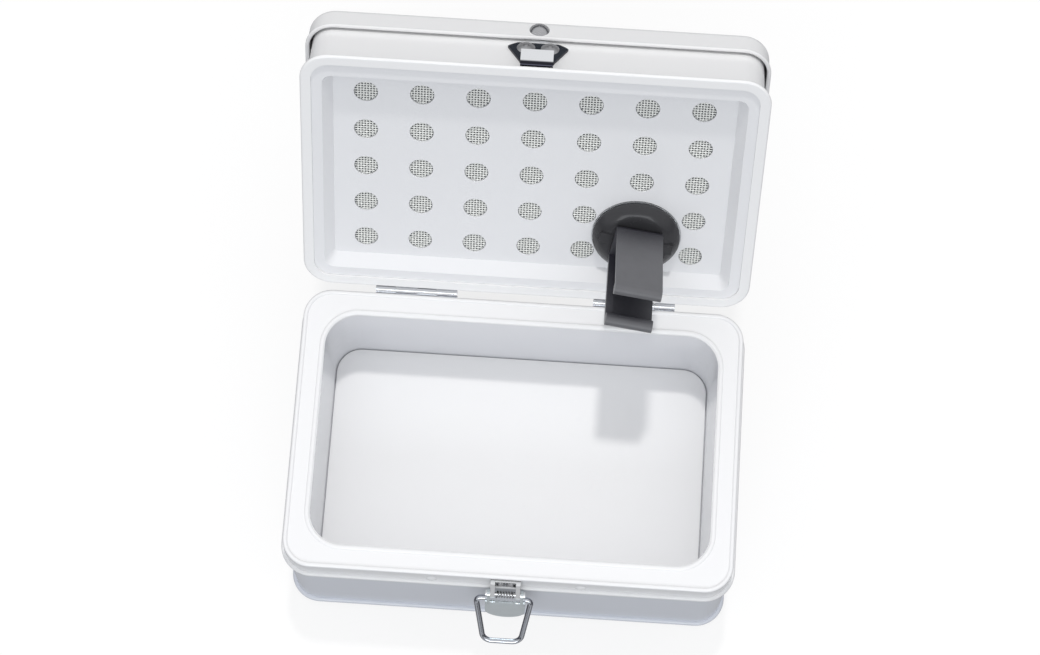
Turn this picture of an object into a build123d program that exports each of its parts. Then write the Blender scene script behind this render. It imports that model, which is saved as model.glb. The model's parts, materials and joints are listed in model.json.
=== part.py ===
from build123d import *
import math
import os

# Vented steel safe box for charging and storing battery packs.
# Millimetres, +Z up, front towards -Y. The origin is the middle of the base, on the surface it stands on.
# The lid is drawn closed and then swung open about its hinge, which is how the box rests.

# Driving dimensions of the box
rim_width = 202.0
rim_depth = 130.5
rim_corner_radius = 13.0
body_height = 72.0
sheet = 1.0
seat_gap = 0.1
packing_gap = 0.25
lid_gap = 0.3
overrun = 4.0
lid_open_angle = 119.5

# Top frame of the body
rim_bead_radius = 1.1
rim_recess = 0.8
skirt_drop = 13.3
skirt_bead_reach = 1.5
rim_side_width = 11.0
rim_front_width = 11.25
opening_corner_radius = 15.0
lip_bead_radius = 1.3

# Outer shell and bottom pan
base_bead_reach = 1.6
pan_flange_share = 0.56

# Inner tub
cavity_depth = 48.5
tub_side_slope = 2.25
tub_front_slope = 1.5
floor_corner_radius = 12.0
tub_flange_width = 7.0
floor_seam = 0.4

# Front frame rivets
frame_rivet_spacing = 67.0
frame_rivet_radius = 2.6
frame_rivet_height = 0.9
frame_rivet_hole = 1.4
frame_rivet_drop = 8.0

# Hinges
hinge_length = 37.5
hinge_inset = 51.0
knuckle_count = 4
knuckle_gap = 0.3
barrel_radius = 1.4
pin_radius = 0.75
pin_clearance = 0.05
leaf_thickness = 1.0
barrel_offset = 1.66
barrel_rise = 0.89
body_leaf_height = 10.6
lid_leaf_rise = 18.0
lid_leaf_bend = 4.6
leaf_rivet_radius = 2.0
leaf_rivet_height = 1.0
leaf_rivet_hole = 1.2
leaf_rivet_spacing = 22.0
leaf_rivet_drop = 6.8

# Lid shell
lid_side_reach = 0.8
lid_wall_inset = 3.0
lid_deck_height = 29.0
lid_deck_width = 15.0
lid_bead_radius = 1.0
lid_lip_width = 4.8

# Perforated tray inside the lid
tray_band_width = 4.7
tray_slope_width = 4.2
tray_front_extra = 1.9
tray_recess = 6.28
tray_edge_radius = 1.5
tray_crease_radius = 4.5
tray_wall = 1.4
hole_columns = 7
hole_rows = 5
hole_side_margin = 14.36
hole_front_margin = 9.95
hole_radius = 5.3

# Tabs of the lid's frame that lap over the edge of the tray's floor
tab_width = 2.0
tab_height = 1.0
tab_ridge = 0.6
tab_root = 0.7
tab_corner_length = 20.0
tab_middle_length = 14.5
tab_corner_margin_y = 13.0
tab_corner_margin_x = 42.0

# Flame screen and filter
screen_thickness = 0.6
screen_margin = 1.5

# Vent cap
cap_overlap = 5.8
cap_height = 37.0
cap_bead_reach = 0.8
cap_edge_radius = 5.0
bracket_width = 16.0
bracket_foot = 9.0
bracket_rise = 3.6
bracket_drop = 3.2
cap_screw_rise = 28.8
cap_screw_radius = 4.4
cap_screw_height = 2.2
cap_screw_shank = 1.6

# Strike on the lid
strike_thickness = 1.2
strike_foot = 2.2
strike_neck = 4.9
strike_width = 26.2
strike_shoulder = 10.6
strike_crown = 4.8
hook_width = 14.1
hook_fold_radius = 1.4
hook_length = 5.3
hook_lean = 12.0
strike_rivet_spacing = 10.4
strike_rivet_rise = 9.8
strike_rivet_radius = 4.0
strike_dimple_radius = 1.2
strike_rivet_height = 1.5
strike_rivet_hole = 1.6

# Latch on the body
bracket_plate = 1.2
latch_frame_width = 13.4
latch_arm_thickness = 2.0
latch_flange_top = 2.0
latch_flange_height = 8.6
axle_out = 3.9
axle_drop = 13.5
axle_radius = 0.9
arm_end_radius = 2.05
latch_rivet_spacing = 5.0
latch_rivet_radius = 1.7
latch_rivet_height = 0.8
latch_rivet_hole = 0.9
axle_head_radius = 1.6
axle_head = 0.7

# Latch lever
lever_plate = 1.2
lever_width = 18.2
lever_length = 24.5
lever_start = 3.6
lever_stand = 1.9
lever_tilt = 5.0
lever_ear_gap = 0.25
lever_ear = 1.2
lever_ear_length = 11.0
lever_ear_radius = 2.1
bail_pivot_along = 5.0
bail_pivot_out = 0.5

# Wire bail
wire_radius = 1.25
wire_clearance = 0.06
bail_length = 25.0
bail_root_width = 27.6
bail_tip_width = 19.4
bail_root_bend = 2.2
bail_tip_bend = 4.5
bail_side_play = 0.7
bail_rest_angle = 33.0

# Latch spring
spring_wire_radius = 0.4
spring_coil_radius = 1.45
spring_pitch = 1.25
spring_turns = 6
spring_marks_per_turn = 2
spring_leg = 1.6

# Swivel clip on the lid tray
clip_side_margin = 39.6
clip_back_margin = 20.55
clip_turn = 9.0
pad_radius = 20.2
pad_thickness = 0.5
clip_base_radius = 19.7
clip_base_height = 5.0
clip_base_lip = 1.4
clip_flat_radius = 12.5
magnet_radius = 13.0
magnet_height = 2.6
clip_bar_width = 5.6
clip_bar_height = 0.5
clip_bar_depth = 1.6
clip_bar_margin = 3.0
clip_width = 21.0
clip_root_gap = 15.0
clip_tip_gap = 20.5
clip_strip = 2.0
clip_reach = 43.0
clip_lip_radius = 2.8
clip_root_bend = 3.0
clip_rivet_radius = 4.0
clip_rivet_height = 1.6
clip_rivet_shank = 2.0

# Places worked out from the sizes above
frame_top = body_height - rim_recess
frame_under = frame_top - sheet
front = -rim_depth / 2
back = rim_depth / 2
opening_width = rim_width - 2 * rim_side_width
opening_depth = rim_depth - 2 * rim_front_width
floor_width = opening_width - 2 * tub_side_slope
floor_depth = opening_depth - 2 * tub_front_slope
shell_inset = sheet + seat_gap
floor_top = body_height - cavity_depth
tub_bottom = floor_top - sheet - sheet
tub_top = frame_under - sheet
hinge_spacing = rim_width - 2 * hinge_inset
hinge_y = back + barrel_offset
hinge_z = body_height + barrel_rise
hinge_line = Axis((0, hinge_y, hinge_z), (1, 0, 0))
lid_base = body_height + lid_gap
lid_wall_front = front + lid_wall_inset
lid_wall_back = back - lid_wall_inset
lip_top = lid_base + sheet
tray_band_low = lip_top + seat_gap
panel_low = tray_band_low + tray_recess
panel_high = panel_low + sheet
screen_low = panel_high + seat_gap
deck_low = lid_base + lid_deck_height - sheet
deck_high = lid_base + lid_deck_height
cap_top = lid_base + cap_height
cap_low = deck_high - cap_overlap
band_inset = lid_lip_width + tray_band_width
panel_inset = band_inset + tray_slope_width
panel_width = rim_width + 2 * (lid_side_reach - panel_inset)
panel_depth = rim_depth - 2 * panel_inset
hole_pitch_x = (panel_width - 2 * hole_side_margin) / (hole_columns - 1)
hole_pitch_y = (panel_depth - 2 * hole_front_margin) / (hole_rows - 1)
strike_low = lid_base + strike_foot
strike_fan_low = strike_low + strike_neck
axle_y = front - axle_out
axle_z = body_height - axle_drop
axle_line = Axis((0, axle_y, axle_z), (1, 0, 0))
lever_ear_inner = latch_frame_width / 2 + lever_ear_gap
lever_ear_outer = lever_ear_inner + lever_ear
clip_x = panel_width / 2 - clip_side_margin
clip_y = panel_depth / 2 - clip_back_margin
clip_face = panel_low - seat_gap - pad_thickness
clip_front = clip_face - clip_base_height


def slab(width, depth, radius, low, high, x=0.0, y=0.0):
    """Upright block with rounded corners."""
    return Pos(x, y, low) * extrude(RectangleRounded(width, depth, radius), amount=high - low)


def rim_slab(inset, low, high, reach=0.0):
    """Block whose sides stand a given distance inside the rim's outline, which reaches further for the lid."""
    width = rim_width + 2 * (reach - inset)
    depth = rim_depth - 2 * inset
    return slab(width, depth, max(rim_corner_radius - inset, tray_edge_radius), low, high)


def rim_ring(outer_inset, inner_inset, low, high, reach=0.0):
    """Upright band between two distances inside the rim's outline."""
    return rim_slab(outer_inset, low, high, reach) - rim_slab(inner_inset, low - overrun, high + overrun, reach)


def bead(width, depth, corner, radius, height):
    """Round bead that follows a rounded rectangle."""
    path = (Pos(0, 0, height) * RectangleRounded(width, depth, corner)).wire()
    section = Plane(origin=path @ 0, z_dir=path % 0) * Circle(radius)
    return sweep(section, path=path)


def rim_bead(inset, radius, height, reach=0.0):
    """Round bead whose middle runs a given distance inside the rim's outline."""
    width = rim_width + 2 * (reach - inset)
    return bead(width, rim_depth - 2 * inset, rim_corner_radius - inset, radius, height)


def taper(low_size, high_size, low, high, low_y=0.0):
    """Block that changes evenly from one rounded rectangle to another, each as width, depth and radius."""
    bottom = Pos(0, low_y, low) * RectangleRounded(*low_size)
    top = Pos(0, 0, high) * RectangleRounded(*high_size)
    return loft([bottom, top], ruled=True)


def rod(radius, start, end):
    """Round bar between two points."""
    run = Vector(end) - Vector(start)
    return Plane(origin=start, z_dir=run) * extrude(Circle(radius), amount=run.length)


def side_plate(outline, x_low, x_high):
    """Flat piece drawn in the YZ plane and given its thickness along X."""
    face = make_face(Plane.YZ * Polyline(outline, close=True))
    return Pos(x_low, 0, 0) * extrude(face, amount=x_high - x_low, dir=(1, 0, 0))


def domed_rivet(head_radius, head_height, shank_radius, grip, seat, out):
    """Rivet with a shallow domed head on a seat, its shank going in against the outward direction."""
    ball = (head_radius ** 2 + head_height ** 2) / (2 * head_height)
    cap = Pos(0, 0, head_height - ball) * Sphere(ball)
    keep = extrude(Circle(head_radius), amount=head_height)
    shank = Pos(0, 0, -grip) * extrude(Circle(shank_radius), amount=grip)
    return Plane(origin=seat, z_dir=out) * ((cap & keep) + shank)


def swing(y, z, centre_y, centre_z, angle):
    """Turn a point of the YZ plane about a line along X."""
    turn = math.radians(angle)
    dy = y - centre_y
    dz = z - centre_z
    return (centre_y + dy * math.cos(turn) - dz * math.sin(turn),
            centre_z + dy * math.sin(turn) + dz * math.cos(turn))


def opened(shape):
    """A piece of the closed lid, swung to where the open lid rests."""
    return shape.rotate(hinge_line, -lid_open_angle)


def tub(grow, low, high):
    """Inner tub's tapered form, grown outwards by a wall or a gap, between two heights."""
    floor_size = (floor_width + 2 * grow, floor_depth + 2 * grow, floor_corner_radius + grow)
    mouth_size = (opening_width + 2 * grow, opening_depth + 2 * grow, opening_corner_radius + grow)
    whole = taper(floor_size, mouth_size, floor_top - sheet, frame_under)
    return whole & slab(rim_width, rim_depth, rim_corner_radius, low, high)


def rivet_places(spacing, height, face):
    """Seats of the rivets of both hinge leaves on one face."""
    return [(side * hinge_spacing / 2 + end * spacing / 2, face, height) for side in (-1, 1) for end in (-1, 1)]


def leaf_rivet_places_body():
    return rivet_places(leaf_rivet_spacing, body_height - leaf_rivet_drop, back + leaf_thickness)


def leaf_rivet_places_lid():
    flat = (lid_leaf_bend + lid_wall_inset + lid_leaf_rise) / 2
    return rivet_places(leaf_rivet_spacing, lid_base + flat, lid_wall_back + leaf_thickness)


def frame_rivet_places():
    return [(side * frame_rivet_spacing / 2, front, body_height - frame_rivet_drop) for side in (-1, 1)]


def latch_rivet_places():
    height = body_height - latch_flange_top - latch_flange_height / 2
    return [(side * latch_rivet_spacing / 2, front - bracket_plate, height) for side in (-1, 1)]


def strike_rivet_places():
    face = lid_wall_front - strike_thickness
    return [(side * strike_rivet_spacing / 2, face, strike_fan_low + strike_rivet_rise) for side in (-1, 1)]


def drill(radius, places, depth):
    """Bars along Y through each seat, for cutting rivet holes."""
    return [rod(radius, (x, y - depth, z), (x, y + depth, z)) for x, y, z in places]


def make_outer_shell():
    top = body_height - 2 * rim_bead_radius - seat_gap
    wall = rim_ring(shell_inset, shell_inset + sheet, base_bead_radius(), top)
    roll = rim_bead(shell_inset + sheet - base_bead_radius(), base_bead_radius(), base_bead_radius())
    return wall + roll


def base_bead_radius():
    return (sheet + base_bead_reach) / 2


def make_bottom_pan():
    inset = shell_inset + sheet + seat_gap
    plate = rim_slab(inset, 0, sheet)
    flange = rim_ring(inset, inset + sheet, 0, pan_flange_share * tub_bottom)
    return plate + flange


def make_rim_frame():
    top = rim_slab(rim_bead_radius, frame_under, frame_top)
    skirt = rim_ring(0, sheet, body_height - skirt_drop, body_height - rim_bead_radius)
    roll = rim_bead(rim_bead_radius, rim_bead_radius, body_height - rim_bead_radius)
    foot_radius = (sheet + skirt_bead_reach) / 2
    foot = rim_bead(sheet - foot_radius, foot_radius, body_height - skirt_drop)
    lip = bead(
        opening_width + 2 * lip_bead_radius,
        opening_depth + 2 * lip_bead_radius,
        opening_corner_radius + lip_bead_radius,
        lip_bead_radius,
        body_height - seat_gap - lip_bead_radius,
    )
    frame = top + skirt + roll + foot + lip
    frame -= slab(opening_width, opening_depth, opening_corner_radius, frame_under - overrun, body_height + overrun)
    frame -= slab(opening_width + 2 * overrun, opening_depth + 2 * overrun, opening_corner_radius + overrun,
                  frame_under - overrun, frame_under)
    for bar in drill(leaf_rivet_hole, leaf_rivet_places_body(), overrun):
        frame -= bar
    for bar in drill(latch_rivet_hole, latch_rivet_places(), overrun):
        frame -= bar
    for bar in drill(frame_rivet_hole, frame_rivet_places(), overrun):
        frame -= bar
    return frame


def make_inner_tub():
    wall = tub(sheet, floor_top - sheet, frame_under) - tub(0, floor_top - sheet - overrun, frame_under + overrun)
    flange = slab(
        opening_width + 2 * tub_flange_width,
        opening_depth + 2 * tub_flange_width,
        opening_corner_radius + tub_flange_width,
        tub_top,
        frame_under,
    ) - tub(0, floor_top - sheet, frame_under + overrun)
    bottom = slab(floor_width + 2 * sheet, floor_depth + 2 * sheet, floor_corner_radius + sheet,
                  tub_bottom, tub_bottom + sheet)
    return wall + flange + bottom


def make_floor_plate():
    return slab(floor_width - 2 * floor_seam, floor_depth - 2 * floor_seam, floor_corner_radius - floor_seam,
                floor_top - sheet, floor_top)


def make_floor_insulation():
    inset = shell_inset + sheet + seat_gap + sheet + packing_gap
    return rim_slab(inset, sheet, tub_bottom)


def make_wall_insulation():
    inset = shell_inset + sheet + packing_gap
    block = rim_slab(inset, tub_bottom, tub_top)
    core = tub(sheet + packing_gap, floor_top - sheet, tub_top)
    under = slab(floor_width + 2 * (sheet + packing_gap), floor_depth + 2 * (sheet + packing_gap),
                 floor_corner_radius + sheet + packing_gap, tub_bottom - overrun, floor_top - sheet)
    return block - core - under


def make_frame_rivets():
    shank = frame_rivet_hole - pin_clearance
    return [domed_rivet(frame_rivet_radius, frame_rivet_height, shank, sheet, seat, (0, -1, 0))
            for seat in frame_rivet_places()]


def knuckles(first):
    """Barrel lengths along X that belong to one leaf, every second one from the first."""
    span = hinge_length / knuckle_count
    return [(-hinge_length / 2 + index * span, -hinge_length / 2 + (index + 1) * span)
            for index in range(first, knuckle_count, 2)]


def leaf_barrel(first, x):
    """Rolled barrel of one leaf with its bore."""
    rolls = []
    for low, high in knuckles(first):
        low += knuckle_gap / 2
        high -= knuckle_gap / 2
        roll = rod(barrel_radius, (x + low, hinge_y, hinge_z), (x + high, hinge_y, hinge_z))
        rolls.append(roll)
    bore = rod(pin_radius + pin_clearance, (x - hinge_length, hinge_y, hinge_z), (x + hinge_length, hinge_y, hinge_z))
    return rolls, bore


def leaf_strips(first, x, low, high, y_low, y_high):
    """Leaf stock that joins each barrel to the flat of the leaf."""
    strips = []
    for start, end in knuckles(first):
        middle = x + (start + end) / 2
        strip = Pos(middle, (y_low + y_high) / 2, (low + high) / 2) * Box(
            end - start - knuckle_gap, y_high - y_low, high - low)
        strips.append(strip)
    return strips


def make_body_leaf(x):
    clear = hinge_z - barrel_radius - knuckle_gap
    low = body_height - body_leaf_height
    plate = Pos(x, back + leaf_thickness / 2, (low + clear) / 2) * Box(hinge_length, leaf_thickness, clear - low)
    rolls, bore = leaf_barrel(0, x)
    leaf = plate
    for strip in leaf_strips(0, x, clear, body_height, back, back + leaf_thickness):
        leaf += strip
    for roll in rolls:
        leaf += roll
    leaf -= bore
    for bar in drill(leaf_rivet_hole, leaf_rivet_places_body(), overrun):
        leaf -= bar
    return leaf


def make_lid_leaf(x):
    inner = back + seat_gap
    outer = inner + leaf_thickness
    clear = hinge_z + barrel_radius + knuckle_gap
    bend = lid_base + lid_leaf_bend
    landing = bend + inner - lid_wall_back
    top = lid_base + lid_leaf_rise
    outline = [
        (inner, clear), (outer, clear), (outer, bend + leaf_thickness / 2),
        (lid_wall_back + leaf_thickness, landing + leaf_thickness / 2), (lid_wall_back + leaf_thickness, top),
        (lid_wall_back, top), (lid_wall_back, landing), (inner, bend),
    ]
    leaf = side_plate(outline, x - hinge_length / 2, x + hinge_length / 2)
    rolls, bore = leaf_barrel(1, x)
    for strip in leaf_strips(1, x, hinge_z, clear, inner, outer):
        leaf += strip
    for roll in rolls:
        leaf += roll
    leaf -= bore
    for bar in drill(leaf_rivet_hole, leaf_rivet_places_lid(), overrun):
        leaf -= bar
    return leaf


def make_hinge_pin(x):
    return rod(pin_radius, (x - hinge_length / 2, hinge_y, hinge_z), (x + hinge_length / 2, hinge_y, hinge_z))


def make_body_leaf_rivets():
    grip = leaf_thickness + sheet
    shank = leaf_rivet_hole - pin_clearance
    return [domed_rivet(leaf_rivet_radius, leaf_rivet_height, shank, grip, seat, (0, 1, 0))
            for seat in leaf_rivet_places_body()]


def make_lid_leaf_rivets():
    grip = leaf_thickness + sheet
    shank = leaf_rivet_hole - pin_clearance
    return [domed_rivet(leaf_rivet_radius, leaf_rivet_height, shank, grip, seat, (0, 1, 0))
            for seat in leaf_rivet_places_lid()]


def make_lid_shell():
    wall = rim_ring(lid_wall_inset, lid_wall_inset + sheet, lid_base, deck_high, lid_side_reach)
    flange = rim_ring(lid_bead_radius, lid_lip_width, lid_base, lip_top, lid_side_reach)
    roll = rim_bead(lid_bead_radius, lid_bead_radius, lid_base + lid_bead_radius, lid_side_reach)
    deck = rim_ring(lid_wall_inset, lid_wall_inset + lid_deck_width, deck_low, deck_high, lid_side_reach)
    shell = wall + flange + roll + deck
    for bar in drill(leaf_rivet_hole, leaf_rivet_places_lid(), overrun):
        shell -= bar
    for bar in drill(strike_rivet_hole, strike_rivet_places(), overrun):
        shell -= bar
    return shell


def tray_size(inset, radius, front_extra=0.0):
    """Width, depth and corner radius of the tray a given distance inside the lid's outline."""
    return (rim_width + 2 * (lid_side_reach - inset), rim_depth - 2 * inset - front_extra, radius)


def hole_places():
    xs = [(column - (hole_columns - 1) / 2) * hole_pitch_x for column in range(hole_columns)]
    ys = [(row - (hole_rows - 1) / 2) * hole_pitch_y for row in range(hole_rows)]
    return [(x, y) for x in xs for y in ys]


def tray_tab(middle, way, length):
    """Tab that laps from the tray's side on to its floor, at a place on the floor's edge, pointing inwards."""
    outline = [(-tab_root, 0), (-tab_root, tab_height), (tab_ridge, tab_height), (tab_width, 0)]
    plane = Plane(origin=(*middle, panel_low), x_dir=(*way, 0), z_dir=(-way[1], way[0], 0))
    face = plane * make_face(Polyline(*[(along, -height) for along, height in outline], close=True))
    return extrude(face, amount=length / 2, both=True)


def tray_tabs():
    """Tabs along the sides, the front and the back. The back's third place is under the clip and has none."""
    side_x = panel_width / 2
    side_y = panel_depth / 2
    corner_x = side_x - tab_corner_margin_x
    corner_y = side_y - tab_corner_margin_y
    tabs = []
    for side in (-1, 1):
        tabs.append(tray_tab((side * side_x, 0), (-side, 0), tab_middle_length))
        tabs.append(tray_tab((0, side * side_y), (0, -side), tab_middle_length))
        tabs.append(tray_tab((-corner_x, side * side_y), (0, -side), tab_corner_length))
        for end in (-1, 1):
            tabs.append(tray_tab((side * side_x, end * corner_y), (-side, 0), tab_corner_length))
    tabs.append(tray_tab((corner_x, -side_y), (0, 1), tab_corner_length))
    return tabs


def make_filter_panel():
    flange_inset = lid_wall_inset + sheet + packing_gap
    flange = rim_slab(flange_inset, tray_band_low, tray_band_low + sheet, lid_side_reach)
    bulk = taper(
        tray_size(band_inset - tray_wall, tray_crease_radius + tray_wall, tray_front_extra),
        tray_size(panel_inset - tray_wall, tray_edge_radius + tray_wall),
        tray_band_low, panel_high, tray_front_extra / 2)
    hollow = taper(
        tray_size(band_inset, tray_crease_radius, tray_front_extra), tray_size(panel_inset, tray_edge_radius),
        tray_band_low, panel_low, tray_front_extra / 2)
    panel = flange + bulk - hollow
    for tab in tray_tabs():
        panel += tab
    disc = Pos(0, 0, panel_low - overrun) * extrude(Circle(hole_radius), amount=sheet + 2 * overrun)
    for x, y in hole_places():
        panel -= Pos(x, y, 0) * disc
    return panel


def make_mesh_screen():
    inset = panel_inset - tray_wall + screen_margin
    width, depth, radius = tray_size(inset, tray_edge_radius)
    return slab(width, depth, radius, screen_low, screen_low + screen_thickness)


def make_filter_pad():
    inset = panel_inset - tray_wall + screen_margin
    width, depth, radius = tray_size(inset, tray_edge_radius)
    return slab(width, depth, radius, screen_low + screen_thickness, deck_low)


def cap_form(inset, edge, top):
    """Crowned block of the cap, with a rounded upper edge."""
    block = rim_slab(inset, cap_low, top, lid_side_reach)
    return fillet(block.faces().sort_by(Axis.Z)[-1].edges(), edge)


def make_lid_cap():
    crown = cap_form(cap_bead_reach, cap_edge_radius, cap_top)
    hollow = cap_form(cap_bead_reach + sheet, cap_edge_radius - sheet, cap_top - sheet)
    radius = (cap_bead_reach + sheet) / 2
    cap = crown - hollow + rim_bead(radius, radius, cap_low, lid_side_reach)
    for bar in drill(cap_screw_shank + pin_clearance, cap_screw_seats(), overrun):
        cap -= bar
    return cap


def cap_screw_seats():
    height = lid_base + cap_screw_rise
    return [(0, front + cap_bead_reach, height), (0, back - cap_bead_reach, height)]


def make_cap_brackets():
    brackets = []
    for side in (-1, 1):
        face = side * (back - cap_bead_reach - sheet)
        foot_end = side * (back - lid_wall_inset - bracket_foot)
        leg_middle = deck_high + (bracket_rise - bracket_drop) / 2
        leg = Pos(0, face - side * sheet / 2, leg_middle) * Box(bracket_width, sheet, bracket_rise + bracket_drop)
        foot_length = abs(face - foot_end)
        foot = Pos(0, (face + foot_end) / 2, deck_high + sheet / 2) * Box(bracket_width, foot_length, sheet)
        bracket = leg + foot
        for bar in drill(cap_screw_shank + pin_clearance, cap_screw_seats(), overrun):
            bracket -= bar
        brackets.append(bracket)
    return brackets


def make_cap_screws():
    grip = sheet + sheet
    outs = [(0, -1, 0), (0, 1, 0)]
    return [domed_rivet(cap_screw_radius, cap_screw_height, cap_screw_shank, grip, seat, out)
            for seat, out in zip(cap_screw_seats(), outs)]


def make_strike_plate():
    fold = strike_low + hook_fold_radius + strike_thickness
    shoulder = strike_fan_low + strike_shoulder
    top = shoulder + strike_crown
    half_foot = hook_width / 2
    half_top = strike_width / 2
    plane = Plane(origin=(0, lid_wall_front, 0), x_dir=(1, 0, 0), z_dir=(0, -1, 0))
    outline = Polyline(
        (half_top, shoulder), (half_foot, strike_fan_low), (half_foot, fold),
        (-half_foot, fold), (-half_foot, strike_fan_low), (-half_top, shoulder))
    crown = ThreePointArc((-half_top, shoulder), (0, top), (half_top, shoulder))
    fan = plane * make_face(outline + crown)
    plate = extrude(fan, amount=strike_thickness, dir=(0, -1, 0))
    for bar in drill(strike_rivet_hole, strike_rivet_places(), overrun):
        plate -= bar
    return plate + make_hook()


def make_hook():
    """Tongue folded out and up from the strike's foot, leaning away from the plate."""
    fold = hook_fold_radius + strike_thickness
    root_y = lid_wall_front - strike_thickness - hook_fold_radius
    centre_z = strike_low + fold
    lean = math.radians(hook_lean)
    sweep_angle = math.pi - lean
    outer_start = (root_y + fold, centre_z)
    outer_end = (root_y - fold * math.cos(lean), centre_z - fold * math.sin(lean))
    outer_mid = (root_y + fold * math.cos(sweep_angle / 2), centre_z - fold * math.sin(sweep_angle / 2))
    inner_start = (root_y + hook_fold_radius, centre_z)
    inner_end = (root_y - hook_fold_radius * math.cos(lean), centre_z - hook_fold_radius * math.sin(lean))
    inner_mid = (root_y + hook_fold_radius * math.cos(sweep_angle / 2),
                 centre_z - hook_fold_radius * math.sin(sweep_angle / 2))
    rise = (-hook_length * math.sin(lean), hook_length * math.cos(lean))
    outer_tip = (outer_end[0] + rise[0], outer_end[1] + rise[1])
    inner_tip = (inner_end[0] + rise[0], inner_end[1] + rise[1])
    outline = (
        ThreePointArc(outer_start, outer_mid, outer_end) + Line(outer_end, outer_tip)
        + Line(outer_tip, inner_tip) + Line(inner_tip, inner_end)
        + ThreePointArc(inner_end, inner_mid, inner_start) + Line(inner_start, outer_start))
    face = make_face(Plane.YZ * outline)
    return Pos(-hook_width / 2, 0, 0) * extrude(face, amount=hook_width, dir=(1, 0, 0))


def make_strike_rivets():
    grip = strike_thickness + sheet
    shank = strike_rivet_hole - pin_clearance
    rivets = []
    for x, y, z in strike_rivet_places():
        rivet = domed_rivet(strike_rivet_radius, strike_rivet_height, shank, grip, (x, y, z), (0, -1, 0))
        rivets.append(rivet - Pos(x, y - strike_rivet_height, z) * Sphere(strike_dimple_radius))
    return rivets


def make_latch_bracket():
    top = body_height - latch_flange_top
    low = top - latch_flange_height
    face = front - bracket_plate
    plate = Pos(0, (front + face) / 2, (top + low) / 2) * Box(latch_frame_width, bracket_plate, latch_flange_height)
    for side in (-1, 1):
        outer = side * latch_frame_width / 2
        inner = outer - side * latch_arm_thickness
        outline = [
            (front, top), (face - bracket_plate, top), (axle_y - arm_end_radius, axle_z + arm_end_radius),
            (axle_y - arm_end_radius, axle_z), (axle_y + arm_end_radius, axle_z),
            (axle_y + arm_end_radius, low), (front, low),
        ]
        arm = side_plate(outline, min(outer, inner), max(outer, inner))
        arm += rod(arm_end_radius, (outer, axle_y, axle_z), (inner, axle_y, axle_z))
        plate += arm
    plate -= rod(axle_radius + pin_clearance, (-latch_frame_width, axle_y, axle_z), (latch_frame_width, axle_y, axle_z))
    for bar in drill(latch_rivet_hole, latch_rivet_places(), overrun):
        plate -= bar
    return plate


def make_latch_rivets():
    grip = bracket_plate + sheet
    shank = latch_rivet_hole - pin_clearance
    return [domed_rivet(latch_rivet_radius, latch_rivet_height, shank, grip, seat, (0, -1, 0))
            for seat in latch_rivet_places()]


def make_latch_axle():
    half = lever_ear_outer + seat_gap
    axle = rod(axle_radius, (-half, axle_y, axle_z), (half, axle_y, axle_z))
    for side in (-1, 1):
        axle += rod(axle_head_radius, (side * half, axle_y, axle_z), (side * (half + axle_head), axle_y, axle_z))
    return axle


def bail_pivot():
    """Place of the bail's pivot in the lever's ears, in Y and Z."""
    upright = (axle_y - bail_pivot_out, axle_z - bail_pivot_along)
    return swing(*upright, axle_y, axle_z, -lever_tilt)


def make_latch_lever():
    inner = axle_y - lever_stand
    outer = inner - lever_plate
    start = axle_z - lever_start
    end = axle_z - lever_length
    half = lever_width / 2
    plane = Plane(origin=(0, inner, 0), x_dir=(1, 0, 0), z_dir=(0, -1, 0))
    sides = Polyline((-half, end + half), (-half, start), (half, start), (half, end + half))
    tip = ThreePointArc((half, end + half), (0, end), (-half, end + half))
    lever = extrude(plane * make_face(sides + tip), amount=lever_plate, dir=(0, -1, 0))
    for side in (-1, 1):
        low = min(side * lever_ear_inner, side * lever_ear_outer)
        outline = [
            (axle_y + lever_ear_radius, axle_z), (axle_y - lever_ear_radius, axle_z), (outer, start),
            (outer, axle_z - lever_ear_length), (inner, axle_z - lever_ear_length),
            (axle_y + lever_ear_radius, axle_z - bail_pivot_along - wire_radius),
        ]
        ear = side_plate(outline, low, low + lever_ear)
        ear += rod(lever_ear_radius, (low, axle_y, axle_z), (low + lever_ear, axle_y, axle_z))
        lever += ear
    reach = lever_width
    lever -= rod(axle_radius + pin_clearance, (-reach, axle_y, axle_z), (reach, axle_y, axle_z))
    pivot_y = axle_y - bail_pivot_out
    pivot_z = axle_z - bail_pivot_along
    for side in (-1, 1):
        lever -= rod(wire_radius + wire_clearance, (side * lever_ear_inner - side * lever_ear_gap, pivot_y, pivot_z),
                     (side * reach, pivot_y, pivot_z))
    return lever.rotate(axle_line, -lever_tilt)


def make_latch_bail():
    y, z = bail_pivot()
    root = bail_root_width / 2 - wire_radius
    tip = bail_tip_width / 2 - wire_radius
    end = lever_ear_inner
    middle = -bail_side_play
    points = [(-end, y, z), (middle - root, y, z), (middle - tip, y, z - bail_length),
              (middle + tip, y, z - bail_length), (middle + root, y, z), (end, y, z)]
    path = FilletPolyline(*points, radius=[bail_root_bend, bail_tip_bend, bail_tip_bend, bail_root_bend])
    section = Plane(origin=path @ 0, z_dir=path % 0) * Circle(wire_radius)
    bail = sweep(section, path=path)
    return bail.rotate(Axis((0, y, z), (1, 0, 0)), -(lever_tilt + bail_rest_angle))


def spring_point(turn):
    """Point and direction on the spring's helix after a number of turns."""
    angle = 2 * math.pi * turn
    start_x = -spring_turns * spring_pitch / 2
    point = Vector(start_x + spring_pitch * turn, axle_y + spring_coil_radius * math.sin(angle),
                   axle_z - spring_coil_radius * math.cos(angle))
    along = Vector(spring_pitch / (2 * math.pi * spring_coil_radius), math.cos(angle), math.sin(angle))
    return point, along.normalized()


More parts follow.
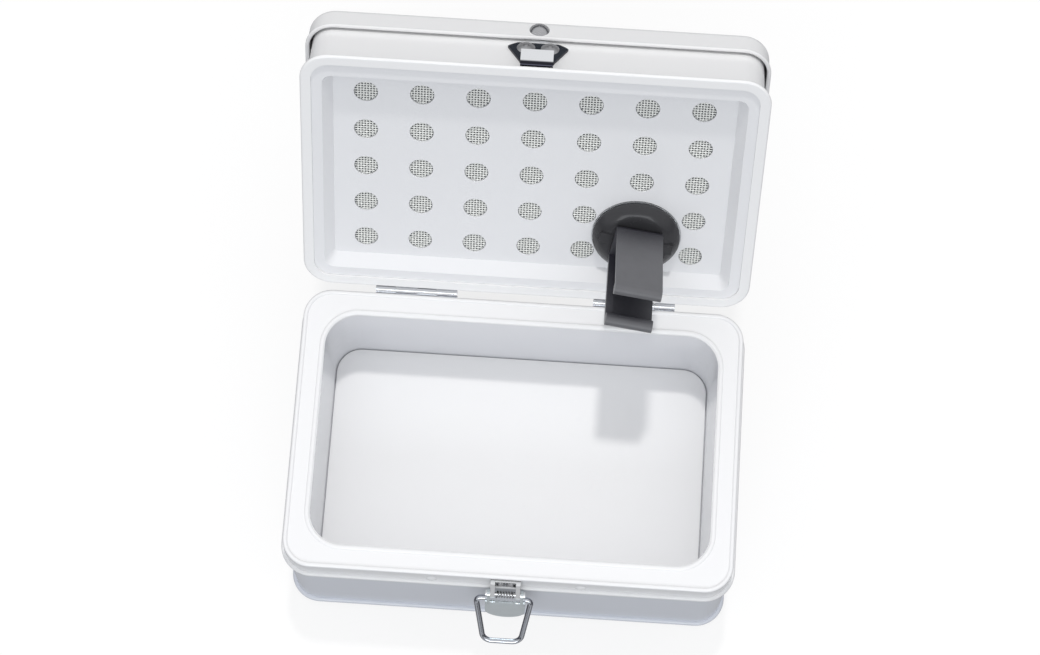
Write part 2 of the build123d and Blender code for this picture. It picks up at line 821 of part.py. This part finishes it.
def biarc(start, start_way, end, end_way):
    """Two arcs that leave one point along its direction and reach the other along its own."""
    gap = end - start
    ways = start_way + end_way
    a = 2 * (1 - start_way.dot(end_way))
    b = 2 * gap.dot(ways)
    reach = (-b + math.sqrt(b * b + 4 * a * gap.dot(gap))) / (2 * a)
    middle = (start + start_way * reach + end - end_way * reach) * 0.5
    middle_way = (end - end_way * reach) - (start + start_way * reach)
    return [TangentArc(start, middle, tangent=start_way), TangentArc(middle, end, tangent=middle_way)]


def make_latch_spring():
    steps = spring_marks_per_turn * spring_turns
    marks = [spring_point(step / spring_marks_per_turn) for step in range(steps + 1)]
    first, first_way = marks[0]
    last, last_way = marks[-1]
    pieces = [Line(first - first_way * spring_leg, first)]
    for (start, start_way), (end, end_way) in zip(marks, marks[1:]):
        pieces += biarc(start, start_way, end, end_way)
    pieces.append(Line(last, last + last_way * spring_leg))
    path = Wire(pieces)
    section = Plane(origin=path @ 0, z_dir=path % 0) * Circle(spring_wire_radius)
    return sweep(section, path=path)


def spring_self_gap():
    """Least clear distance between turns of the spring, measured on points along it."""
    count = 24
    points = [spring_point(step / count)[0] for step in range(count * spring_turns + 1)]
    gaps = [(points[i] - points[j]).length for i in range(len(points)) for j in range(i + count // 2, len(points))]
    return min(gaps) - 2 * spring_wire_radius


def make_clip_base():
    lip = clip_face - clip_base_lip
    run = clip_base_radius - clip_flat_radius
    rise = lip - clip_front
    crown = (run ** 2 + rise ** 2) / (2 * rise)
    half_turn = math.asin(run / crown) / 2
    shoulder = (clip_flat_radius + crown * math.sin(half_turn), clip_front + crown * (1 - math.cos(half_turn)))
    profile = (
        Polyline((clip_flat_radius, clip_front), (0, clip_front), (0, clip_face), (clip_base_radius, clip_face),
                 (clip_base_radius, lip))
        + ThreePointArc((clip_base_radius, lip), shoulder, (clip_flat_radius, clip_front)))
    disc = revolve(make_face(Plane.XZ * profile), axis=Axis.Z)
    bar_start = clip_width / 2 + packing_gap
    bar_end = clip_base_radius - clip_bar_margin
    bar_middle = clip_front + (clip_bar_depth - clip_bar_height) / 2
    for side in (-1, 1):
        disc += Pos(side * (bar_start + bar_end) / 2, 0, bar_middle) * Box(
            bar_end - bar_start, clip_bar_width, clip_bar_depth + clip_bar_height)
    disc -= Pos(0, 0, clip_face - magnet_height) * extrude(Circle(magnet_radius + packing_gap), amount=magnet_height)
    disc -= Pos(0, 0, clip_front) * extrude(Circle(clip_rivet_shank + pin_clearance), amount=clip_base_height)
    return disc


def make_clip_pad():
    return Pos(0, 0, clip_face) * extrude(Circle(pad_radius), amount=pad_thickness)


def make_clip_magnet():
    return Pos(0, 0, clip_face - magnet_height) * extrude(Circle(magnet_radius), amount=magnet_height)


def make_spring_clip():
    web_low = clip_front - clip_strip
    tip = clip_front - clip_reach
    root = clip_root_gap / 2
    mouth = clip_tip_gap / 2
    lip_y = mouth + clip_strip - clip_lip_radius
    half = [(0, clip_front), (root + clip_strip, clip_front), (mouth + clip_strip, tip), (mouth, tip),
            (root, web_low), (0, web_low)]
    arm = side_plate(half, -clip_width / 2, clip_width / 2)
    outer = arm.edges().filter_by(Axis.X).sort_by_distance((0, root + clip_strip, clip_front))[0]
    arm = fillet(outer, clip_root_bend)
    arm += rod(clip_lip_radius, (-clip_width / 2, lip_y, tip), (clip_width / 2, lip_y, tip))
    clip = arm + mirror(arm, about=Plane.XZ)
    return clip - Pos(0, 0, web_low) * extrude(Circle(clip_rivet_shank + pin_clearance), amount=clip_strip)


def make_clip_rivet():
    grip = clip_strip + clip_base_height - magnet_height
    seat = (0, 0, clip_front - clip_strip)
    return domed_rivet(clip_rivet_radius, clip_rivet_height, clip_rivet_shank, grip, seat, (0, 0, -1))


def on_lid(shape):
    """A clip piece, turned as it sits on the tray and swung open with the lid."""
    placed = Pos(clip_x, clip_y, 0) * shape.rotate(Axis.Z, clip_turn)
    return opened(placed)


def grouped(shapes):
    return Compound(children=list(shapes))


def main():
    sides = {"left": -hinge_spacing / 2, "right": hinge_spacing / 2}
    parts = {
        "outer_shell": make_outer_shell(),
        "bottom_pan": make_bottom_pan(),
        "rim_frame": make_rim_frame(),
        "inner_tub": make_inner_tub(),
        "floor_plate": make_floor_plate(),
        "wall_insulation": make_wall_insulation(),
        "floor_insulation": make_floor_insulation(),
        "frame_rivets": grouped(make_frame_rivets()),
        "hinge_rivets_body": grouped(make_body_leaf_rivets()),
        "latch_bracket": make_latch_bracket(),
        "latch_rivets": grouped(make_latch_rivets()),
        "latch_axle": make_latch_axle(),
        "latch_spring": make_latch_spring(),
        "latch_lever": make_latch_lever(),
        "latch_bail": make_latch_bail(),
    }
    lid_parts = {
        "lid_shell": make_lid_shell(),
        "filter_panel": make_filter_panel(),
        "mesh_screen": make_mesh_screen(),
        "filter_pad": make_filter_pad(),
        "lid_cap": make_lid_cap(),
        "cap_brackets": grouped(make_cap_brackets()),
        "cap_screws": grouped(make_cap_screws()),
        "strike_plate": make_strike_plate(),
        "strike_rivets": grouped(make_strike_rivets()),
        "hinge_rivets_lid": grouped(make_lid_leaf_rivets()),
    }
    for side, x in sides.items():
        parts["hinge_leaf_body_" + side] = make_body_leaf(x)
        parts["hinge_pin_" + side] = make_hinge_pin(x)
        lid_parts["hinge_leaf_lid_" + side] = make_lid_leaf(x)
    clip_parts = {
        "clip_base": make_clip_base(),
        "clip_pad": make_clip_pad(),
        "clip_magnet": make_clip_magnet(),
        "spring_clip": make_spring_clip(),
        "clip_rivet": make_clip_rivet(),
    }
    for name, shape in lid_parts.items():
        parts[name] = opened(shape)
    for name, shape in clip_parts.items():
        parts[name] = on_lid(shape)
    os.makedirs("parts", exist_ok=True)
    for name, shape in parts.items():
        export_step(shape, "parts/" + name + ".step")
    print("spring self gap", round(spring_self_gap(), 3))


main()
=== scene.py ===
import json
import math

import bmesh
import bpy
from mathutils import Matrix, Vector


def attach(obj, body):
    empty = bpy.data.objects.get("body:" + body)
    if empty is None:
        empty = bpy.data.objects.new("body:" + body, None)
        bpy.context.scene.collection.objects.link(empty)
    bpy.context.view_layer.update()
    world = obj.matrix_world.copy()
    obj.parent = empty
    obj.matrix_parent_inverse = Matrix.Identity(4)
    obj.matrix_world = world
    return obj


# Looks for the vented steel safe box. Lengths in metres.

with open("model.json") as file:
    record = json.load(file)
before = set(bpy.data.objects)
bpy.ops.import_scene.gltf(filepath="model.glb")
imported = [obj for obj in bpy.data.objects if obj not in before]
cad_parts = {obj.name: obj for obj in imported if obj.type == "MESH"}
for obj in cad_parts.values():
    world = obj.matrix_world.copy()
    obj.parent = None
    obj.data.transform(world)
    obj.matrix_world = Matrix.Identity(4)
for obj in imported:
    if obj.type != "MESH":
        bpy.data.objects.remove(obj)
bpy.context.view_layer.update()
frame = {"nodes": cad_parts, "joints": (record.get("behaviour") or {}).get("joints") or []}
lid_hinge = next(joint for joint in frame["joints"] if joint["name"] == "lid_hinge")

# Grid of holes in the filter panel, with the lid shut
panel_low = 0.07968
hole_columns = 7
hole_rows = 5
hole_pitch_x = 0.02458
hole_pitch_y = 0.0208
hole_radius = 0.0053

# Wire cloth behind the holes
wire_pitch = 0.0013
wire_radius = 0.00031
weave_height = 0.00014
wire_depth = 0.00065
wire_edge_gap = 0.0001
wire_steps_per_pitch = 2
wire_least_steps = 2

# Values that the materials share
colour_detail = 2.0
grain_detail = 3.0
roughness_fineness = 2.3
enamel_patches = 9.0
coat_roughness = 0.06
plain_gloss = 0.5
gap_samples = 8

# Clear pad under the clip
pad_low = (0.90, 0.92, 0.94)
pad_high = (0.96, 0.97, 0.98)
pad_roughness = (0.05, 0.12)
pad_patches = 40.0
pad_roughness_patches = 90.0
pad_transmission = 0.9
pad_refraction = 1.4

# Studio floor, which glows by a share of its own for each kind of ray
floor_size = 6.0
floor_seen = (0.89, 0.885, 0.88)
floor_bounced = (0.18, 0.185, 0.20)
floor_glow = 1.035
floor_glow_shares = {"Is Camera Ray": 0.74, "Is Glossy Ray": 0.35, "Is Transmission Ray": 0.45}

# Light
sky_low = (0.030, 0.034, 0.042)
sky_high = (0.764, 0.771, 0.787)
sky_horizon_end = 0.11
sky_back_rise = 0.08
sky_zenith_start = 0.36
key_from = (0.0, 0.267, 0.964)
key_power = 0.89
key_spread = math.radians(3.4)
key_colour = (1.0, 0.985, 0.965)
fill_place = (0.0, -1.6, 0.95)
fill_size = (1.3, 0.7)
fill_power = 9.2
fill_colour = (0.93, 0.965, 1.0)

# Camera
camera_place = Vector((0.02203, -0.33749, 1.29121))
camera_yaw = math.radians(-3.45)
camera_pitch = math.radians(72.23)
camera_roll = math.radians(0.36)
camera_lens = 96.8
camera_sensor = 36.0
camera_near = 0.01
camera_far = 20.0


# Node helpers

def opaque(colour):
    return (*colour, 1)


def feed(tree, value, socket):
    """Links another node's value to a socket or, where the value is a plain one, sets it there."""
    if isinstance(value, bpy.types.NodeSocket):
        tree.links.new(value, socket)
    else:
        socket.default_value = value


def calculate(tree, operation, *values):
    """Result of a sum on numbers and other nodes' values."""
    node = tree.nodes.new("ShaderNodeMath")
    node.operation = operation
    for value, socket in zip(values, node.inputs):
        feed(tree, value, socket)
    return node.outputs[0]


def remap(tree, value, source=(0.0, 1.0), target=(0.0, 1.0)):
    """A value carried from one pair of limits to another."""
    node = tree.nodes.new("ShaderNodeMapRange")
    tree.links.new(value, node.inputs["Value"])
    for name, limit in zip(("From Min", "From Max", "To Min", "To Max"), (*source, *target)):
        node.inputs[name].default_value = limit
    return node.outputs["Result"]


def blend(tree, share, first, second):
    """Colour between two others, by the share of the second."""
    node = tree.nodes.new("ShaderNodeMix")
    node.data_type = "RGBA"
    for name, value in (("Factor", share), ("A", first), ("B", second)):
        feed(tree, value, node.inputs[name])
    return node.outputs["Result"]


def noise(tree, scale, detail=colour_detail):
    """Noise over the piece's own coordinates."""
    coords = tree.nodes.new("ShaderNodeTexCoord")
    texture = tree.nodes.new("ShaderNodeTexNoise")
    texture.inputs["Scale"].default_value = scale
    texture.inputs["Detail"].default_value = detail
    tree.links.new(coords.outputs["Object"], texture.inputs["Vector"])
    return texture.outputs["Fac"]


def bump(tree, shader, scale, strength, distance):
    """Fine grain on a shader's surface."""
    node = tree.nodes.new("ShaderNodeBump")
    node.inputs["Strength"].default_value = strength
    node.inputs["Distance"].default_value = distance
    tree.links.new(noise(tree, scale, grain_detail), node.inputs["Height"])
    tree.links.new(node.outputs["Normal"], shader.inputs["Normal"])


# Material makers

def uneven(name, low, high, patches, roughness, roughness_patches):
    """Material whose colour and roughness vary in patches, with its node tree and shader."""
    material = bpy.data.materials.new(name)
    material.use_nodes = True
    tree = material.node_tree
    shader = tree.nodes["Principled BSDF"]
    colour = blend(tree, noise(tree, patches), opaque(low), opaque(high))
    tree.links.new(colour, shader.inputs["Base Color"])
    tree.links.new(remap(tree, noise(tree, roughness_patches), target=roughness), shader.inputs["Roughness"])
    return material, tree, shader


def surface(name, low, high, roughness, patches, metallic=0.0, coat=0.0, gloss=plain_gloss, grain=None):
    """Solid material with, where given, a clear coat and a fine grain."""
    material, tree, shader = uneven(name, low, high, patches, roughness, patches * roughness_fineness)
    shader.inputs["Metallic"].default_value = metallic
    shader.inputs["Specular IOR Level"].default_value = gloss
    shader.inputs["Coat Weight"].default_value = coat
    shader.inputs["Coat Roughness"].default_value = coat_roughness
    if grain:
        bump(tree, shader, **grain)
    return material


def enamel(name, low, high, roughness, coat):
    """Glossy paint with faint, broad patches."""
    return surface(name, low, high, roughness, enamel_patches, coat=coat)


def metal(name, low, high, roughness, patches):
    return surface(name, low, high, roughness, patches, metallic=1.0)


def clear_plastic(name):
    material, _, shader = uneven(name, pad_low, pad_high, pad_patches, pad_roughness, pad_roughness_patches)
    shader.inputs["Transmission Weight"].default_value = pad_transmission
    shader.inputs["IOR"].default_value = pad_refraction
    return material


def openness(material, reach):
    """Value that falls from one to nothing where the surface looks into a narrow gap."""
    node = material.node_tree.nodes.new("ShaderNodeAmbientOcclusion")
    node.samples = gap_samples
    node.inputs["Distance"].default_value = reach
    return node.outputs["AO"]


def facing(material, direction):
    """Value that is one where the piece's own surface faces a direction and nothing at right angles."""
    tree = material.node_tree
    coords = tree.nodes.new("ShaderNodeTexCoord")
    node = tree.nodes.new("ShaderNodeVectorMath")
    node.operation = "DOT_PRODUCT"
    node.inputs[1].default_value = direction
    tree.links.new(coords.outputs["Normal"], node.inputs[0])
    return node.outputs["Value"]


def darken(material, value, start, full, dark):
    """Takes a material's colour to a dark one as a value goes from a start to where the dark is full."""
    tree = material.node_tree
    socket = tree.nodes["Principled BSDF"].inputs["Base Color"]
    plain = socket.links[0].from_socket
    share = remap(tree, value, source=(start, full))
    tree.links.new(blend(tree, share, plain, opaque(dark)), socket)


def dress(material, *nodes):
    """Gives a material to nodes of the frame."""
    for node in nodes:
        mesh = frame["nodes"][node].data
        mesh.materials.clear()
        mesh.materials.append(material)


# Painted sheet

def paint_sheets():
    # One white enamel is given several tones here. Painted light: the lid pieces are a lighter copy of the
    # rim's white.
    dress(enamel("lid_enamel_painted_light", low=(0.920, 0.920, 0.922), high=(0.932, 0.932, 0.934),
                 roughness=(0.22, 0.26), coat=0.3),
          "lid_shell", "lid_cap", "cap_brackets")
    dress(enamel("rim_enamel", low=(0.858, 0.858, 0.864), high=(0.870, 0.870, 0.876),
                 roughness=(0.22, 0.26), coat=0.3),
          "rim_frame", "frame_rivets")
    # Painted light: the floor plate is a lighter copy of the same white enamel.
    dress(enamel("floor_enamel_painted_light", low=(0.928, 0.928, 0.930), high=(0.938, 0.938, 0.940),
                 roughness=(0.20, 0.24), coat=0.3),
          "floor_plate")
    dress(enamel("panel_enamel", low=(0.840, 0.845, 0.862), high=(0.852, 0.857, 0.872),
                 roughness=(0.24, 0.28), coat=0.25),
          "filter_panel")
    # Painted shade: the inner tub is a darker, bluer copy of the same white enamel.
    dress(enamel("tub_enamel_painted_shade", low=(0.664, 0.672, 0.702), high=(0.680, 0.688, 0.716),
                 roughness=(0.18, 0.22), coat=0.35),
          "inner_tub")
    # Painted shade: the outer shell and bottom pan are a darker, bluer copy of the same white enamel.
    dress(enamel("shell_enamel_painted_shade", low=(0.720, 0.745, 0.805), high=(0.732, 0.757, 0.815),
                 roughness=(0.24, 0.28), coat=0.25),
          "outer_shell", "bottom_pan")


# Soft fillings

def dress_fillings():
    dress(surface("ceramic_fibre", low=(0.70, 0.68, 0.64), high=(0.84, 0.82, 0.78),
                  roughness=(0.85, 0.98), patches=300.0,
                  grain={"scale": 1500.0, "strength": 0.5, "distance": 0.0005}),
          "wall_insulation", "floor_insulation")
    dress(surface("filter_felt", low=(0.10, 0.10, 0.09), high=(0.22, 0.22, 0.20),
                  roughness=(0.85, 0.98), patches=700.0,
                  grain={"scale": 1800.0, "strength": 0.6, "distance": 0.0005}),
          "filter_pad")
    dress(surface("screen_backing", low=(0.18, 0.19, 0.20), high=(0.26, 0.27, 0.28),
                  roughness=(0.6, 0.85), patches=600.0,
                  grain={"scale": 1600.0, "strength": 0.4, "distance": 0.0003}),
          "mesh_screen")


# Bare metal

def dress_hinges():
    dress(metal("hinge_zinc", low=(0.62, 0.63, 0.66), high=(0.74, 0.75, 0.77),
                roughness=(0.18, 0.30), patches=240.0),
          "hinge_leaf_body_left", "hinge_leaf_body_right", "hinge_leaf_lid_left", "hinge_leaf_lid_right",
          "hinge_pin_left", "hinge_pin_right", "hinge_rivets_body", "hinge_rivets_lid")


def dress_latch():
    """Bright bracket with painted shade in its gaps, a bail with painted dark reflections on its sides, and
    a duller lever and spring.
    """
    bracket = metal("bracket_painted_shade", low=(0.90, 0.91, 0.92), high=(0.96, 0.97, 0.98),
                    roughness=(0.05, 0.12), patches=180.0)
    # Painted shade: the bracket's colour goes nearly black where it looks into narrow gaps.
    darken(bracket, openness(bracket, reach=0.010), start=0.82, full=0.52, dark=(0.02, 0.02, 0.022))
    dress(bracket, "latch_bracket")
    bail = metal("bail_painted_reflection", low=(0.56, 0.58, 0.62), high=(0.66, 0.68, 0.72),
                 roughness=(0.06, 0.14), patches=220.0)
    # Painted dark reflection: the bail's colour goes dark where its surface faces sideways.
    painted_side_reflection = calculate(bail.node_tree, "ABSOLUTE", facing(bail, (1, 0, 0)))
    darken(bail, painted_side_reflection, start=0.30, full=0.80, dark=(0.10, 0.10, 0.12))
    dress(bail, "latch_bail")
    dress(metal("lever_plate", low=(0.70, 0.76, 0.78), high=(0.78, 0.84, 0.86),
                roughness=(0.16, 0.26), patches=200.0),
          "latch_lever")
    dress(metal("spring_wire", low=(0.42, 0.42, 0.43), high=(0.56, 0.56, 0.57),
                roughness=(0.14, 0.26), patches=300.0),
          "latch_spring")
    dress(metal("bright_plate", low=(0.80, 0.81, 0.82), high=(0.88, 0.89, 0.90),
                roughness=(0.03, 0.08), patches=180.0),
          "latch_axle")


def dress_strike():
    """Bright strike plate with a painted dark reflection on the fold of its hook, and dull rivets."""
    strike = metal("strike_painted_reflection", low=(0.92, 0.93, 0.94), high=(0.96, 0.97, 0.98),
                   roughness=(0.05, 0.12), patches=180.0)
    # Painted dark reflection: the strike's colour goes dark on faces that turn towards the front, as on the
    # fold of the hook.
    darken(strike, facing(strike, (0, -1, 0)), start=-0.05, full=0.20, dark=(0.03, 0.03, 0.04))
    dress(strike, "strike_plate")
    dress(surface("rivet_head", low=(0.34, 0.34, 0.35), high=(0.46, 0.46, 0.47),
                  roughness=(0.34, 0.46), patches=320.0, metallic=0.8),
          "strike_rivets")


def dress_fixings():
    dress(metal("satin_steel", low=(0.46, 0.46, 0.47), high=(0.58, 0.58, 0.59),
                roughness=(0.20, 0.32), patches=260.0),
          "latch_rivets", "clip_rivet", "clip_magnet", "cap_screws")


# Swivel clip

def dress_clip():
    """Black disc on a clear pad, and a grey spring clip with painted shade between its arms."""
    dress(surface("gloss_black", low=(0.038, 0.038, 0.041), high=(0.048, 0.048, 0.052),
                  roughness=(0.22, 0.30), patches=120.0, coat=0.22, gloss=0.20),
          "clip_base")
    arms = surface("clip_grey_painted_shade", low=(0.118, 0.119, 0.127), high=(0.142, 0.143, 0.152),
                   roughness=(0.36, 0.48), patches=160.0,
                   grain={"scale": 1400.0, "strength": 0.05, "distance": 0.0002})
    # Painted shade: the clip's colour goes nearly black where it looks into the gap between its arms.
    darken(arms, openness(arms, reach=0.030), start=0.98, full=0.55, dark=(0.022, 0.022, 0.030))
    dress(arms, "spring_clip")
    dress(clear_plastic("clear_pad"), "clip_pad")


# Woven wires behind the holes

def closed_to_open():
    """Matrix that carries a point of the closed lid to the open one."""
    pivot = Matrix.Translation(lid_hinge["pos_m"])
    closed_angle = math.radians(lid_hinge["range_deg"][1])
    return pivot @ Matrix.Rotation(-closed_angle, 4, "X") @ pivot.inverted()


def wire_run(mesh, points, normal):
    """Square-sided wire along a row of points."""
    rings = []
    for index, point in enumerate(points):
        ahead = points[min(index + 1, len(points) - 1)] - points[max(index - 1, 0)]
        side = ahead.cross(normal).normalized() * wire_radius
        lift = normal * wire_radius
        rings.append([mesh.verts.new(point + offset) for offset in (side, lift, -side, -lift)])
    for first, second in zip(rings, rings[1:]):
        for here in range(len(first)):
            after = (here + 1) % len(first)
            face = mesh.faces.new((first[here], first[after], second[after], second[here]))
            face.smooth = True


def hole_cloth(mesh, x, y, offset):
    """Woven wires that fill one hole, clear of its edge."""
    reach = hole_radius - wire_edge_gap
    count = int(reach / wire_pitch)
    normal = Vector((0, 0, 1))
    level = panel_low + wire_depth
    for way in (0, 1):
        for row in range(-count, count + 1):
            across = row * wire_pitch + offset[way]
            if abs(across) + wire_radius >= reach:
                continue
            half = math.sqrt(reach ** 2 - (abs(across) + wire_radius) ** 2)
            steps = max(wire_least_steps, int(2 * half * wire_steps_per_pitch / wire_pitch))
            points = []
            for step in range(steps + 1):
                along = -half + 2 * half * step / steps
                phase = math.pi * ((along - offset[1 - way]) / wire_pitch + row + way)
                height = level + weave_height * math.cos(phase)
                local = (along, across) if way == 0 else (across, along)
                points.append(Vector((x + local[0], y + local[1], height)))
            wire_run(mesh, points, normal)


def make_cloth():
    """Wires of one cloth, seen through all the holes and carried by the lid."""
    mesh = bmesh.new()
    for column in range(hole_columns):
        for row in range(hole_rows):
            x = (column - (hole_columns - 1) / 2) * hole_pitch_x
            y = (row - (hole_rows - 1) / 2) * hole_pitch_y
            shift = (-(y % wire_pitch) + wire_pitch / 2, -(x % wire_pitch) + wire_pitch / 2)
            hole_cloth(mesh, x, y, shift)
    mesh.transform(closed_to_open())
    data = bpy.data.meshes.new("screen_wires")
    mesh.to_mesh(data)
    mesh.free()
    data.materials.append(surface("screen_wire", low=(0.90, 0.91, 0.88), high=(0.96, 0.97, 0.94),
                                  roughness=(0.30, 0.45), patches=400.0, metallic=0.1))
    cloth = bpy.data.objects.new("screen_wires", data)
    bpy.context.collection.objects.link(cloth)
    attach(cloth, "lid")


# Studio

def make_floor():
    """White floor that keeps a soft shadow, is bright to the camera and throws little light back up."""
    bpy.ops.mesh.primitive_plane_add(size=floor_size, location=(0, 0, 0))
    floor = bpy.context.object
    floor.name = "studio_floor"
    material = bpy.data.materials.new("studio_white")
    material.use_nodes = True
    tree = material.node_tree
    tree.nodes.clear()
    out = tree.nodes.new("ShaderNodeOutputMaterial")
    path = tree.nodes.new("ShaderNodeLightPath")
    matte = tree.nodes.new("ShaderNodeBsdfDiffuse")
    colour = blend(tree, path.outputs["Is Camera Ray"], opaque(floor_bounced), opaque(floor_seen))
    tree.links.new(colour, matte.inputs["Color"])
    glow = tree.nodes.new("ShaderNodeEmission")
    glow.inputs["Color"].default_value = (1, 1, 1, 1)
    glow.inputs["Strength"].default_value = floor_glow
    share = 0.0
    for ray, weight in floor_glow_shares.items():
        share = calculate(tree, "MAXIMUM", share, calculate(tree, "MULTIPLY", path.outputs[ray], weight))
    mix = tree.nodes.new("ShaderNodeMixShader")
    tree.links.new(share, mix.inputs["Fac"])
    tree.links.new(matte.outputs["BSDF"], mix.inputs[1])
    tree.links.new(glow.outputs["Emission"], mix.inputs[2])
    tree.links.new(mix.outputs["Shader"], out.inputs["Surface"])
    floor.data.materials.append(material)


def make_sky():
    """Soft light from overhead that ends in a dark band, which stands higher behind the box."""
    world = bpy.data.worlds.new("studio")
    bpy.context.scene.world = world
    world.use_nodes = True
    tree = world.node_tree
    coords = tree.nodes.new("ShaderNodeTexCoord")
    parts = tree.nodes.new("ShaderNodeSeparateXYZ")
    tree.links.new(coords.outputs["Generated"], parts.inputs["Vector"])
    height = calculate(tree, "MULTIPLY_ADD", parts.outputs["Y"], -sky_back_rise, parts.outputs["Z"])
    level = remap(tree, height, source=(sky_horizon_end, sky_zenith_start))
    colour = blend(tree, level, opaque(sky_low), opaque(sky_high))
    tree.links.new(colour, tree.nodes["Background"].inputs["Color"])


def place_lamp(data, place_from):
    """Lamp that shines at the box from a place or a direction."""
    lamp = bpy.data.objects.new(data.name, data)
    lamp.location = place_from
    lamp.rotation_euler = (-Vector(place_from)).to_track_quat("-Z", "Y").to_euler()
    bpy.context.collection.objects.link(lamp)
    return lamp


def make_key():
    """Small overhead lamp, a little behind the box, that draws the soft-edged shadows of the rims."""
    data = bpy.data.lights.new("key", "SUN")
    data.energy = key_power
    data.angle = key_spread
    data.color = key_colour
    lamp = place_lamp(data, key_from)
    lamp.visible_glossy = False


def make_fill():
    """Broad soft box in front of the box and above it."""
    data = bpy.data.lights.new("fill", "AREA")
    data.shape = "RECTANGLE"
    data.size, data.size_y = fill_size
    data.energy = fill_power
    data.color = fill_colour
    place_lamp(data, fill_place)


def make_camera():
    """Camera of the photograph, looking down on the box from the front."""
    data = bpy.data.cameras.new("camera")
    data.lens = camera_lens
    data.sensor_width = camera_sensor
    data.clip_start = camera_near
    data.clip_end = camera_far
    camera = bpy.data.objects.new("camera", data)
    ahead = Vector((math.sin(camera_yaw) * math.cos(camera_pitch),
                    math.cos(camera_yaw) * math.cos(camera_pitch), -math.sin(camera_pitch)))
    right = Vector((math.cos(camera_yaw), -math.sin(camera_yaw), 0))
    up = right.cross(ahead)
    side = math.cos(camera_roll) * right + math.sin(camera_roll) * up
    top = -math.sin(camera_roll) * right + math.cos(camera_roll) * up
    turn = Matrix((side, top, -ahead)).transposed().to_4x4()
    camera.matrix_world = Matrix.Translation(camera_place) @ turn
    bpy.context.collection.objects.link(camera)
    bpy.context.scene.camera = camera


paint_sheets()
dress_fillings()
dress_hinges()
dress_latch()
dress_strike()
dress_fixings()
dress_clip()
make_cloth()
make_floor()
make_sky()
make_key()
make_fill()
make_camera()
bpy.context.scene.view_settings.view_transform = "Standard"
